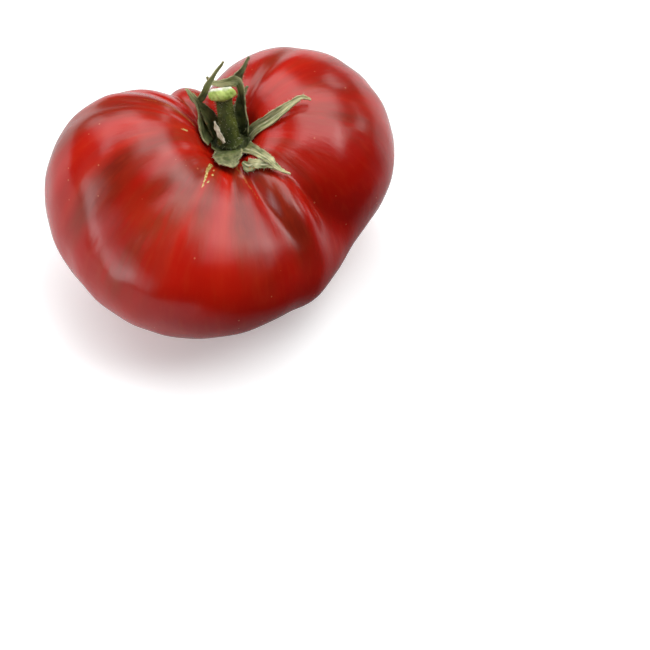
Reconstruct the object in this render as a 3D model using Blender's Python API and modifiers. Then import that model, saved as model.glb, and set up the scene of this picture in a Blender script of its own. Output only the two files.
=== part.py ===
# A whole ribbed beefsteak tomato with its green calyx and a short, broken stem.
# Metres, +Z up. The origin is on the small flat spot that the fruit rests on.

import math

import bmesh
import bpy
import numpy as np
from mathutils import Vector
from mathutils.bvhtree import BVHTree

MM = 0.001

# The fruit is a soft union of lobes. Each lobe is an ellipsoid: the azimuth of its long axis in degrees,
# its centre (z from the heart level), and its half-sizes along, across and up, all in millimetres.
LOBES = {
    "left": (180, (-24.6, -1.0, 1.2), (27.6, 28.2, 31.8)),
    "front": (-105, (-7.0, -11.5, -3.0), (37.5, 38.5, 24.0)),
    "right": (25, (20.8, 16.4, 2.6), (29.5, 32.4, 28.5)),
    "flank": (-25, (12.0, 2.0, 1.5), (23.5, 24.0, 23.5)),
    "hip": (-38, (18.0, -7.0, -8.0), (16.5, 17.0, 17.0)),
    "narrow": (-52, (14.2, -12.4, -1.2), (20.6, 10.4, 22.0)),
    "back": (121, (-6.0, 11.4, 1.2), (21.5, 10.5, 24.5)),
    "heel": (90, (-1.0, 18.5, -9.0), (20.0, 20.0, 18.5)),
    "core": (0, (0.0, -2.0, -8.0), (34.0, 31.0, 22.0)),
}
HEART_LEVEL = 30.6 * MM  # height of the lobes' common level over the table
STEM_X = 2.5 * MM  # where the stem stands
STEM_Y = 1.2 * MM
CREASE_SOFTNESS = 0.7 * MM  # how sharply two lobes meet on the shoulder
BASE_SOFTNESS = 4.0 * MM  # and at the blossom end, where the creases have run out
SHOULDER_SOFTNESS = 3.5 * MM  # between the left and front lobes, which are nearly one
FLANK_SOFTNESS = 2.0 * MM  # between the right lobe, its flank and its hip

HOLLOW_DEPTH = 6.0 * MM  # stem hollow
HOLLOW_RADIUS = 10.0 * MM
SEAT_RADIUS = 3.5 * MM  # the skin is level round the stem out to here
SEAT_FADE = 10.0 * MM  # and follows the lobes again from here

# Shallow folds of the skin that run down from the stem: azimuth in degrees, depth in millimetres.
FOLDS = ((-64, 1.3), (-88, 0.5), (-113, 0.5), (-141, 0.4), (156, 0.9), (174, 0.6), (62, 0.9), (10, 0.3))
FOLD_WIDTH = 5.0  # degrees
FOLD_START = (12.0, 24.0)  # a fold deepens between these polar angles from the stem, degrees
FOLD_END = (45.0, 78.0)  # and runs out between these
CREASE_END = (60.0, 120.0)  # the creases between lobes soften between these

FRUIT_SEGMENTS = 80
FRUIT_RINGS = 44
RING_CROWDING = 0.22  # how far the rings crowd towards the stem, where the creases meet

BLADE_THICKNESS = 0.7 * MM
BLADE_CLEARANCE = 0.9 * MM  # a blade's middle surface over the skin

DISC_RADIUS = 6.3 * MM  # calyx disc
DISC_LIFT = 0.95 * MM  # its middle surface over the skin
DISC_RIPPLE = 0.35 * MM
DISC_CUP = 1.0 * MM  # how far its front left edge is lifted off the skin
DISC_CUP_TURN = -135.0  # azimuth of that edge, degrees
DISC_RIPPLES = 7
DISC_RINGS = 5
DISC_SIDES = 30

# Sepals. The path is in millimetres from the point where the stem stands on the skin. Widths are full
# widths in millimetres at even steps along the path, first for the left edge and then for the right,
# seen from the root. Face is the way the upper side looks, at the root and at the tip.
SEPALS = {
    "right": {
        "path": ((5.6, 2.2, 2.2), (7.6, 2.0, 5.2), (11.7, 1.2, 9.6), (15.7, 2.3, 12.6), (18.5, 3.7, 14.2),
                 (20.9, 4.8, 15.0), (23.4, 5.2, 13.8)),
        "left": (3.6, 3.6, 3.4, 2.7, 1.8, 1.2, 0.8),
        "right": (3.6, 3.6, 3.4, 2.7, 1.8, 1.2, 0.8),
        "face": ((-0.3, -0.6, 0.8), (0.0, -0.5, 0.9)),
        "fold": 0.55,
    },
    "lower_right": {
        "path": ((4.6, -3.0, 1.8), (7.0, -5.9, 3.8), (8.9, -8.5, 5.2), (11.6, -11.3, 5.6), (13.2, -12.9, 5.2),
                 (15.6, -14.5, 4.4), (17.7, -14.4, 3.4)),
        "left": (5.4, 3.8, 3.2, 2.9, 1.8, 1.0, 0.8),
        "right": (5.4, 3.4, 2.6, 2.7, 1.8, 1.0, 0.8),
        "face": ((0.1, -0.3, 0.95), (0.3, -0.2, 0.9)),
        "fold": 0.35,
    },
    "torn_flap": {
        "path": ((4.1, -9.9, 3.4), (5.7, -11.6, 3.9), (7.5, -11.7, 4.6), (9.7, -12.4, 5.1), (11.8, -12.9, 5.3),
                 (14.0, -13.9, 4.8)),
        "left": (0.9, 3.4, 3.0, 2.4, 1.8, 1.0),
        "right": (0.9, 3.6, 2.8, 2.2, 1.6, 0.9),
        "face": ((-0.2, -0.6, 0.8), (0.0, -0.6, 0.8)),
        "fold": 0.1,
    },
    "front": {
        "path": ((-0.4, -3.3, 1.4), (0.2, -6.4, 2.6), (1.0, -9.6, 3.5), (1.7, -12.1, 3.8)),
        "left": (8.0, 7.4, 4.4, 1.2),
        "right": (8.0, 9.4, 7.2, 1.3),
        "face": ((0.0, -0.1, 1.0), (-0.1, -0.2, 1.0)),
        "fold": 0.1,
    },
    "left": {
        "path": ((-5.4, 0.7, 1.6), (-7.5, 2.1, 3.6), (-8.1, 3.4, 6.4), (-8.6, 4.4, 9.2), (-9.4, 5.0, 12.4),
                 (-10.8, 5.3, 15.2), (-12.3, 5.6, 17.6)),
        "left": (6.0, 6.0, 5.2, 3.8, 2.0, 2.0, 0.8),
        "right": (6.0, 6.0, 5.2, 3.8, 2.0, 2.0, 0.8),
        "face": ((0.7, -0.3, 0.7), (0.9, -0.4, 0.2)),
        "fold": 0.4,
    },
    "elbow": {
        "path": ((-3.7, 3.3, 1.8), (-4.8, 3.8, 4.6), (-6.1, 4.6, 7.9), (-7.6, 5.2, 10.5), (-9.1, 5.8, 12.0),
                 (-7.5, 6.6, 14.3), (-6.0, 7.6, 17.3), (-3.7, 9.4, 20.5), (-1.4, 11.2, 23.0)),
        "left": (4.0, 4.2, 3.8, 2.6, 1.9, 2.1, 1.8, 1.1, 0.8),
        "right": (4.0, 4.2, 3.8, 2.6, 1.9, 2.1, 1.8, 1.1, 0.8),
        "face": ((0.6, -0.6, 0.5), (0.3, -0.9, 0.3)),
        "fold": 0.3,
    },
    "back": {
        "path": ((4.9, 3.4, 2.0), (5.2, 4.6, 6.0), (4.4, 5.8, 9.9), (3.8, 7.6, 13.6), (3.2, 8.8, 16.7),
                 (1.8, 9.8, 16.7), (-0.4, 10.6, 15.4), (-3.2, 10.9, 14.8), (-5.4, 11.0, 15.4), (-6.5, 11.1, 17.2)),
        "left": (3.8, 3.4, 2.8, 2.4, 2.4, 3.0, 2.6, 1.8, 1.2, 0.8),
        "right": (3.8, 3.4, 2.8, 2.4, 2.4, 3.0, 2.6, 1.8, 1.2, 0.8),
        "face": ((-1.0, -0.3, 0.1), (0.0, -0.7, 0.7)),
        "fold": 0.3,
    },
    "back_right": {
        "path": ((2.6, 4.4, 1.6), (3.0, 5.4, 5.4), (3.2, 6.8, 9.6), (3.3, 8.8, 12.5), (2.9, 10.6, 14.8),
                 (2.5, 11.4, 16.8), (4.1, 12.0, 19.6), (5.8, 12.8, 23.3)),
        "left": (4.4, 4.2, 3.2, 1.8, 2.0, 2.6, 1.3, 0.8),
        "right": (4.4, 4.2, 3.2, 1.8, 2.0, 2.6, 1.3, 0.8),
        "face": ((-0.3, -0.9, 0.2), (-0.2, -0.9, 0.4)),
        "fold": 0.3,
    },
    "behind": {
        "path": ((0.0, 5.0, 1.4), (1.2, 7.6, 4.8), (3.2, 10.4, 9.2), (5.1, 12.0, 12.8)),
        "left": (4.0, 3.2, 2.0, 0.8),
        "right": (4.0, 3.2, 2.0, 0.8),
        "face": ((0.0, -0.6, 0.8), (-0.4, -0.8, 0.4)),
        "fold": 0.25,
    },
}
BLADE_STEPS = 20  # facets along a sepal
BLADE_CROSS = 4  # and across it
BLADE_WAVE = 0.25 * MM  # how far its edges wave
BLADE_WAVES = 2.5  # waves along its length
PATH_STEP = 0.02  # share of a path over which its direction is taken

# Stem: its axis in millimetres from the stem point, and its radius at distances along it.
STEM_AXIS = ((0.0, 0.2, 2.2), (-0.5, 1.5, 6.3), (-1.0, 3.0, 10.2), (-1.5, 4.6, 13.9), (-2.1, 6.3, 17.3))
STEM_PROFILE = (
    (0.0, 0.0), (0.0, 2.2), (0.1, 3.6), (0.8, 3.35), (2.2, 3.0), (4.4, 2.75), (7.0, 2.5), (9.5, 2.35),
    (11.8, 2.25), (12.6, 2.35), (13.1, 3.0), (13.5, 3.7), (14.3, 3.95), (15.1, 3.7), (15.9, 3.1),
    (16.4, 2.6), (16.5, 1.4), (16.3, 0.0),
)  # (distance, radius) from the middle of the foot to the middle of the broken end, millimetres
STEM_SIDES = 24
STEM_FOOT = (0.0, 0.3)  # share of the length over which it turns from level on the disc to square to its axis
KNOB_START = (12.4, 13.6)  # distance over which the neck becomes the swollen end, millimetres
KNOB_TILT = 0.34  # slope of the broken end, which looks away to the back
KNOB_TILT_START = (13.8, 16.0)  # distance over which that slope comes in, millimetres
STEM_RIB = 0.12 * MM  # depth of its lengthwise ribs
STEM_RIBS = 5
KNOB_LUMP = 0.22 * MM  # unevenness of the swollen end

PETAL_PATH = ((-1.3, -3.0, 4.5), (-2.6, -1.4, 6.0), (-3.5, 0.2, 7.3), (-4.3, 2.0, 8.2))
PETAL_WIDTH = (0.9, 1.5, 1.6, 0.9)
PETAL_FACE = ((-0.3, -0.9, 0.3), (-0.8, -0.5, 0.4))
PETAL_FOLD = 0.2
PETAL_THICKNESS = 0.6 * MM

COLOURS = {
    "fruit": ((0.42, 0.015, 0.008), 0.28),
    "calyx": ((0.10, 0.16, 0.05), 0.70),
    "stem": ((0.09, 0.14, 0.03), 0.65),
    "dry_petal": ((0.62, 0.58, 0.42), 0.80),
}


def smooth_step(value, low, high):
    t = np.clip((value - low) / (high - low), 0.0, 1.0)
    return t * t * (3.0 - 2.0 * t)


def soft_union(distances, softness):
    # the largest of several distances, rounded where two of them are nearly alike
    distances = np.array(distances)
    largest = distances.max(axis=0)
    return largest + softness * np.log(np.exp((distances - largest) / softness).sum(axis=0))


def reach_of_lobe(lobe, directions):
    # how far a ray from the heart runs before it leaves the lobe, 0 where it misses it
    azimuth, centre, sizes = lobe
    turn = math.radians(azimuth)
    along, across, up = (size * MM for size in sizes)
    to_unit = np.array([
        [math.cos(turn) / along, math.sin(turn) / along, 0.0],
        [-math.sin(turn) / across, math.cos(turn) / across, 0.0],
        [0.0, 0.0, 1.0 / up],
    ])
    start = to_unit @ (np.array(centre) * MM - np.array([STEM_X, STEM_Y, 0.0]))
    rays = directions @ to_unit.T
    a = (rays ** 2).sum(axis=-1)
    b = rays @ start
    root = b * b - a * ((start ** 2).sum() - 1.0)
    return np.where(root > 0.0, (b + np.sqrt(np.clip(root, 0.0, None))) / a, 0.0)


def lobed_surface(directions):
    # the lobes' outer surface in each direction from the heart, without hollow or folds
    polar = np.degrees(np.arccos(np.clip(directions[:, 2], -1.0, 1.0)))
    reach = {name: reach_of_lobe(lobe, directions) for name, lobe in LOBES.items()}
    softness = CREASE_SOFTNESS + (BASE_SOFTNESS - CREASE_SOFTNESS) * smooth_step(polar, *CREASE_END)
    left = soft_union([reach["left"], reach["front"]], np.maximum(softness, SHOULDER_SOFTNESS))
    right = soft_union([reach["right"], reach["flank"], reach["hip"]], np.maximum(softness, FLANK_SOFTNESS))
    lobes = soft_union([left, right, reach["narrow"], reach["back"]], softness)
    return soft_union([lobes, reach["heel"], reach["core"]], softness), polar


def fruit_points(directions):
    reach, polar = lobed_surface(directions)
    azimuth = np.degrees(np.arctan2(directions[:, 1], directions[:, 0]))
    fade = smooth_step(polar, *FOLD_START) * (1.0 - smooth_step(polar, *FOLD_END))
    for place, depth in FOLDS:
        off = (azimuth - place + 180.0) % 360.0 - 180.0
        reach = reach - depth * MM * np.exp(-(off / FOLD_WIDTH) ** 2) * fade
    points = directions * reach[:, None]
    upper = directions[:, 2] > 0.0
    away = np.hypot(points[:, 0], points[:, 1])
    points[:, 2] -= np.where(upper, HOLLOW_DEPTH * np.exp(-(away / HOLLOW_RADIUS) ** 2), 0.0)
    top = points[upper & (away < SEAT_RADIUS), 2].mean()
    level = np.where(upper, smooth_step(away, SEAT_RADIUS, SEAT_FADE), 1.0)
    points[:, 2] = top + (points[:, 2] - top) * level
    points += np.array([STEM_X, STEM_Y, HEART_LEVEL])
    points[:, 2] = np.maximum(points[:, 2], 0.0)
    return points


def material(name):
    colour, roughness = COLOURS[name]
    made = bpy.data.materials.new(name)
    made.use_nodes = True
    shader = made.node_tree.nodes["Principled BSDF"]
    shader.inputs["Base Color"].default_value = (*colour, 1.0)
    shader.inputs["Roughness"].default_value = roughness
    shader.inputs["Metallic"].default_value = 0.0
    return made


def add_object(name, bm, collection):
    mesh = bpy.data.meshes.new(name)
    bm.to_mesh(mesh)
    bm.free()
    made = bpy.data.objects.new(name, mesh)
    collection.objects.link(made)
    mesh.shade_smooth()
    return made


def make_fruit(collection):
    bm = bmesh.new()
    bmesh.ops.create_uvsphere(bm, u_segments=FRUIT_SEGMENTS, v_segments=FRUIT_RINGS, radius=1.0)
    directions = np.array([vertex.co.normalized() for vertex in bm.verts])
    polar = np.arccos(np.clip(directions[:, 2], -1.0, 1.0))
    crowded = polar - RING_CROWDING * np.sin(polar)
    azimuth = np.arctan2(directions[:, 1], directions[:, 0])
    directions = np.stack([np.sin(crowded) * np.cos(azimuth), np.sin(crowded) * np.sin(azimuth),
                           np.cos(crowded)], axis=-1)
    for vertex, point in zip(bm.verts, fruit_points(directions)):
        vertex.co = point
    bmesh.ops.triangulate(bm, faces=bm.faces)
    fruit = add_object("fruit", bm, collection)
    fruit.data.materials.append(material("fruit"))
    return fruit


class Skin:
    # the fruit's skin, asked for its height under a point

    def __init__(self, fruit):
        bm = bmesh.new()
        bm.from_mesh(fruit.data)
        self.tree = BVHTree.FromBMesh(bm)
        bm.free()
        self.stem_point = Vector((STEM_X, STEM_Y, self.height(STEM_X, STEM_Y)))

    def height(self, x, y):
        return self.tree.ray_cast(Vector((x, y, 1.0)), Vector((0, 0, -1)))[0].z

    def clear(self, point, clearance):
        # the point itself, or moved straight out of the skin until it is clear of it
        nearest, normal = self.tree.find_nearest(point)[:2]
        over = (point - nearest).dot(normal)
        return point + normal * max(clearance - over, 0.0)


def along(values, t):
    # a smooth curve through evenly spaced values, t from 0 to 1
    values = np.array(values, dtype=float)
    last = len(values) - 1
    place = min(max(t, 0.0), 1.0) * last
    i = min(int(place), last - 1)
    f = place - i
    before = values[i - 1] if i > 0 else 2 * values[0] - values[1]
    after = values[i + 2] if i + 2 <= last else 2 * values[last] - values[last - 1]
    a, b = values[i], values[i + 1]
    return 0.5 * (2 * a + (b - before) * f + (2 * before - 5 * a + 4 * b - after) * f ** 2
                  + (3 * a - before - 3 * b + after) * f ** 3)


def blade(name, path, left, right, face, fold, skin, collection, thickness, wave=0.0):
    # a thin leaf along a path, folded lengthwise, its edges waved; face is the way its upper side looks
    bm = bmesh.new()
    bmesh.ops.create_grid(bm, x_segments=BLADE_STEPS, y_segments=BLADE_CROSS, size=1.0)
    face = [Vector(way).normalized() for way in face]
    for vertex in bm.verts:
        t = (vertex.co.x + 1.0) / 2.0
        side = vertex.co.y
        middle = Vector(along(path, t)) * MM
        forward = Vector(along(path, t + PATH_STEP)) - Vector(along(path, t - PATH_STEP))
        forward.normalize()
        look = face[0].lerp(face[1], t)
        sideways = look.cross(forward).normalized()
        up = forward.cross(sideways).normalized()
        width = float(along(left if side > 0 else right, t)) * MM / 2.0
        rise = fold * abs(side) * width + wave * abs(side) * math.sin(BLADE_WAVES * 2 * math.pi * t + side)
        place = skin.stem_point + middle + sideways * (side * width) + up * rise
        vertex.co = skin.clear(place, BLADE_CLEARANCE)
    bmesh.ops.triangulate(bm, faces=bm.faces, quad_method="FIXED")
    made = add_object(name, bm, collection)
    solid = made.modifiers.new("thickness", "SOLIDIFY")
    solid.thickness = thickness
    solid.offset = 0.0
    return made


def applied(made):
    # the object's mesh with its modifiers worked in
    bpy.context.view_layer.update()
    mesh = bpy.data.meshes.new_from_object(made.evaluated_get(bpy.context.evaluated_depsgraph_get()))
    made.modifiers.clear()
    made.data = mesh
    return made


def keep_outer_skin(made):
    # drops what a union leaves inside it: the walls of a sealed hollow, or a loose scrap
    bm = bmesh.new()
    bm.from_mesh(made.data)
    unseen = set(bm.faces)
    shells = []
    while unseen:
        front = [unseen.pop()]
        shell = list(front)
        while front:
            face = front.pop()
            for edge in face.edges:
                for other in edge.link_faces:
                    if other in unseen:
                        unseen.remove(other)
                        front.append(other)
                        shell.append(other)
        shells.append(shell)
    shells.sort(key=len)
    for shell in shells[:-1]:
        bmesh.ops.delete(bm, geom=shell, context="FACES")
    bm.to_mesh(made.data)
    bm.free()


def make_disc(skin, collection):
    # the calyx disc follows the skin round the foot of the stem
    bm = bmesh.new()
    bmesh.ops.create_circle(bm, cap_ends=False, segments=DISC_SIDES, radius=DISC_RADIUS / DISC_RINGS)
    bmesh.ops.contextual_create(bm, geom=bm.edges[:])
    edge = [e for e in bm.edges if e.is_boundary]
    for ring in range(2, DISC_RINGS + 1):
        made = bmesh.ops.extrude_edge_only(bm, edges=edge)["geom"]
        edge = [e for e in made if isinstance(e, bmesh.types.BMEdge) and e.is_boundary]
        for vertex in {v for e in edge for v in e.verts}:
            vertex.co = vertex.co.normalized() * (DISC_RADIUS * ring / DISC_RINGS)
    bmesh.ops.poke(bm, faces=[f for f in bm.faces if len(f.verts) > 4])
    for vertex in bm.verts:
        away = vertex.co.length / DISC_RADIUS
        turn = math.atan2(vertex.co.y, vertex.co.x)
        x, y = skin.stem_point.x + vertex.co.x, skin.stem_point.y + vertex.co.y
        ripple = DISC_RIPPLE * away ** 2 * (1.0 + math.sin(DISC_RIPPLES * turn))
        ripple += DISC_CUP * away ** 3 * max(math.cos(turn - math.radians(DISC_CUP_TURN)), 0.0) ** 2
        vertex.co = skin.clear(Vector((x, y, skin.height(x, y))), DISC_LIFT + ripple)
    bmesh.ops.triangulate(bm, faces=bm.faces, quad_method="FIXED")
    bmesh.ops.recalc_face_normals(bm, faces=bm.faces)
    disc = add_object("calyx", bm, collection)
    solid = disc.modifiers.new("thickness", "SOLIDIFY")
    solid.thickness = BLADE_THICKNESS
    solid.offset = 0.0
    return disc


def make_calyx(skin, collection):
    blades = bpy.data.collections.new("sepals")
    bpy.context.scene.collection.children.link(blades)
    for name, sepal in SEPALS.items():
        blade("sepal_" + name, sepal["path"], sepal["left"], sepal["right"], sepal["face"], sepal["fold"],
              skin, blades, BLADE_THICKNESS, BLADE_WAVE)
    calyx = make_disc(skin, collection)
    union = calyx.modifiers.new("sepals", "BOOLEAN")
    union.operation = "UNION"
    union.operand_type = "COLLECTION"
    union.collection = blades
    union.solver = "EXACT"
    applied(calyx)
    keep_outer_skin(calyx)
    for made in list(blades.objects):
        bpy.data.objects.remove(made)
    bpy.data.collections.remove(blades)
    calyx.data.materials.clear()
    calyx.data.materials.append(material("calyx"))
    return calyx


def make_stem(skin, collection):
    # a ball whose rings are set out along the stem's axis
    bm = bmesh.new()
    rings = len(STEM_PROFILE) - 1
    bmesh.ops.create_uvsphere(bm, u_segments=STEM_SIDES, v_segments=rings, radius=1.0)
    length = STEM_PROFILE[-1][0]
    for vertex in bm.verts:
        ring = round((1.0 - math.acos(max(-1.0, min(1.0, vertex.co.z))) / math.pi) * rings)
        distance, radius = STEM_PROFILE[ring]
        turn = math.atan2(vertex.co.y, vertex.co.x)
        t = distance / length
        middle = Vector(along(STEM_AXIS, t)) * MM
        forward = Vector(along(STEM_AXIS, t + PATH_STEP)) - Vector(along(STEM_AXIS, t - PATH_STEP))
        lean = float(smooth_step(t, *STEM_FOOT))
        forward = Vector((0, 0, 1)).lerp(forward.normalized(), lean).normalized()
        out = Vector((math.cos(turn), math.sin(turn), 0.0))
        out = (out - forward * out.dot(forward)).normalized()
        knob = float(smooth_step(distance, *KNOB_START))
        rough = STEM_RIB * math.cos(STEM_RIBS * turn) * (1.0 - knob)
        rough += KNOB_LUMP * knob * math.sin(3 * turn + 1.0) * math.cos(2 * turn + distance)
        share = min(radius, 1.0)
        tilt = KNOB_TILT * float(smooth_step(distance, *KNOB_TILT_START)) * -out.y * radius * MM
        vertex.co = skin.stem_point + middle + out * (radius * MM + rough * share) + forward * tilt
    bmesh.ops.triangulate(bm, faces=bm.faces)
    stem = add_object("stem", bm, collection)
    stem.data.materials.append(material("stem"))
    return stem


def make_petal(skin, collection):
    petal = blade("dry_petal", PETAL_PATH, PETAL_WIDTH, PETAL_WIDTH, PETAL_FACE, PETAL_FOLD, skin,
                  collection, PETAL_THICKNESS)
    applied(petal)
    petal.data.materials.append(material("dry_petal"))
    return petal


def main():
    for old in list(bpy.data.objects):
        bpy.data.objects.remove(old)
    collection = bpy.data.collections.new("tomato")
    bpy.context.scene.collection.children.link(collection)
    fruit = make_fruit(collection)
    skin = Skin(fruit)
    make_calyx(skin, collection)
    make_stem(skin, collection)
    make_petal(skin, collection)


main()
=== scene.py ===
# Looks of a whole ribbed beefsteak tomato: its skin, calyx, stem, a dry petal and the marks on its skin.
import math
import random

import bmesh
import bpy
import numpy as np
from mathutils import Matrix, Vector
from mathutils.bvhtree import BVHTree


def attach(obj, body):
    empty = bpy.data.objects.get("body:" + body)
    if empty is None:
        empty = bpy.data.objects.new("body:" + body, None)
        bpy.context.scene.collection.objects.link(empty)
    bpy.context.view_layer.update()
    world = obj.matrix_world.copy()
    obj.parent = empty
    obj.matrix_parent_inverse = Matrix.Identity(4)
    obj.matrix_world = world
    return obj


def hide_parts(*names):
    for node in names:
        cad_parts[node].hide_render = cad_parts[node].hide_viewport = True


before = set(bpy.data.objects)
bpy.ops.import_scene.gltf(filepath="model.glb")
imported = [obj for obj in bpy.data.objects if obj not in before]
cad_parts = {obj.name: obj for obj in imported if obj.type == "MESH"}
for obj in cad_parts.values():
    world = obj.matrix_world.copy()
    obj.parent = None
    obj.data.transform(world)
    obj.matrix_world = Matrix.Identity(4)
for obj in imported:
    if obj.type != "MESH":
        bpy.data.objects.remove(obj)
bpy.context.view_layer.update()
mm = 0.001
body = "root"


# Small helpers

def smoothStep(value, low, high):
    t = np.clip((value - low) / (high - low), 0.0, 1.0)
    return t * t * (3.0 - 2.0 * t)


def softUnion(distances, softness):  # the largest distance, rounded where two are nearly alike
    distances = np.array(distances)
    largest = distances.max(axis=0)
    return largest + softness * np.log(np.exp((distances - largest) / softness).sum(axis=0))


def wobble(points, size, seed, waves=24):  # smooth unevenness from -1 to 1, with lumps about as big as size
    draw = np.random.default_rng(seed)
    ways = draw.normal(size=(waves, 3))
    pace = (2 * math.pi / size) * draw.uniform(0.6, 1.4, waves)
    ways *= (pace / np.linalg.norm(ways, axis=1))[:, None]
    phases = draw.uniform(0, 2 * math.pi, waves)
    return np.cos(points @ ways.T + phases).sum(axis=1) / math.sqrt(waves)


def along(values, t):  # a smooth curve through evenly spaced values, t from 0 to 1
    values = np.array(values, dtype=float)
    last = len(values) - 1
    place = min(max(t, 0.0), 1.0) * last
    i = min(int(place), last - 1)
    f = place - i
    before = values[i - 1] if i > 0 else 2 * values[0] - values[1]
    after = values[i + 2] if i + 2 <= last else 2 * values[last] - values[last - 1]
    a, b = values[i], values[i + 1]
    return 0.5 * (2 * a + (b - before) * f + (2 * before - 5 * a + 4 * b - after) * f ** 2
                  + (3 * a - before - 3 * b + after) * f ** 3)


def newPiece(name, bm, material, replaced):
    mesh = bpy.data.meshes.new(name)
    bm.to_mesh(mesh)
    bm.free()
    piece = bpy.data.objects.new(name, mesh)
    bpy.context.scene.collection.objects.link(piece)
    mesh.shade_smooth()
    mesh.materials.append(material)
    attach(piece, body)
    if replaced:
        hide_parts(replaced)
    return piece


def thicken(piece, thickness):  # gives a sheet its thickness, half to each side
    solid = piece.modifiers.new("thickness", "SOLIDIFY")
    solid.thickness = thickness * mm
    solid.offset = 0.0


def keep(mesh, name, values, kind="FLOAT"):  # stores one value for each vertex
    made = mesh.attributes.new(name, kind, "POINT")
    field = "vector" if kind == "FLOAT_VECTOR" else "value"
    made.data.foreach_set(field, np.asarray(values, np.float32).ravel())


# Material helpers

noiseRange = (0.3, 0.7)  # nearly all values of a noise lie in it


def newMaterial(name, **sockets):  # an underscore stands for a space in a socket's name
    material = bpy.data.materials.new(name)
    material.use_nodes = True
    shader = material.node_tree.nodes["Principled BSDF"]
    for socket, value in sockets.items():
        shader.inputs[socket.replace("_", " ")].default_value = value
    return material, material.node_tree, shader


def feed(tree, node, inputs):  # an input gets a link where a socket is given, and a value otherwise
    for socket, value in inputs.items():
        if isinstance(value, bpy.types.NodeSocket):
            tree.links.new(value, node.inputs[socket])
        else:
            node.inputs[socket].default_value = value
    return node


def addNode(tree, kind, inputs=None, **settings):
    made = tree.nodes.new("ShaderNode" + kind)
    for setting, value in settings.items():
        setattr(made, setting, value)
    return feed(tree, made, inputs or {})


def mixColours(tree, share, first, second):
    return addNode(tree, "Mix", {0: share, 6: first, 7: second}, data_type="RGBA").outputs[2]


def combine(tree, operation, *values):
    return addNode(tree, "Math", dict(enumerate(values)), operation=operation).outputs[0]


def product(tree, first, *others):
    for other in others:
        first = combine(tree, "MULTIPLY", first, other)
    return first


def spread(tree, value, low, high, fromLow=0.0, fromHigh=1.0):  # stretches a value to a new range
    return addNode(tree, "MapRange", {"Value": value, "From Min": fromLow, "From Max": fromHigh,
                                      "To Min": low, "To Max": high}).outputs["Result"]


def cloud(tree, vector, scale, detail=3.0):
    return addNode(tree, "TexNoise", {"Vector": vector, "Scale": scale, "Detail": detail}).outputs[0]


def objectPlace(tree):
    return addNode(tree, "TexCoord").outputs["Object"]


def stored(tree, name, output="Fac"):  # what keep stored on the piece
    return addNode(tree, "Attribute", attribute_name=name).outputs[output]


def addBump(tree, shader, height, strength, distance):
    bump = addNode(tree, "Bump", {"Height": height, "Strength": strength, "Distance": distance})
    feed(tree, shader, {"Normal": bump.outputs["Normal"]})


def buildMottle():  # a group: uneven patches of one colour in another
    group = bpy.data.node_groups.new("mottle", "ShaderNodeTree")
    for name, kind in (("Vector", "Vector"), ("Scale", "Float"), ("Detail", "Float"), ("Low", "Float"),
                       ("High", "Float"), ("Colour A", "Color"), ("Colour B", "Color")):
        group.interface.new_socket(name, in_out="INPUT", socket_type="NodeSocket" + kind)
    group.interface.new_socket("Colour", in_out="OUTPUT", socket_type="NodeSocketColor")
    start = group.nodes.new("NodeGroupInput")
    end = group.nodes.new("NodeGroupOutput")
    patches = cloud(group, start.outputs["Vector"], start.outputs["Scale"], start.outputs["Detail"])
    mask = spread(group, patches, 0.0, 1.0, start.outputs["Low"], start.outputs["High"])
    colour = mixColours(group, mask, start.outputs["Colour A"], start.outputs["Colour B"])
    feed(group, end, {"Colour": colour})
    return group


def mottle(tree, vector, scale, first, second, low=0.4, high=0.6, detail=3.0):
    made = tree.nodes.new("ShaderNodeGroup")
    made.node_tree = mottleGroup
    feed(tree, made, {"Vector": vector, "Scale": scale, "Detail": detail, "Low": low, "High": high,
                      "Colour A": first, "Colour B": second})
    return made.outputs["Colour"]


mottleGroup = buildMottle()


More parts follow.
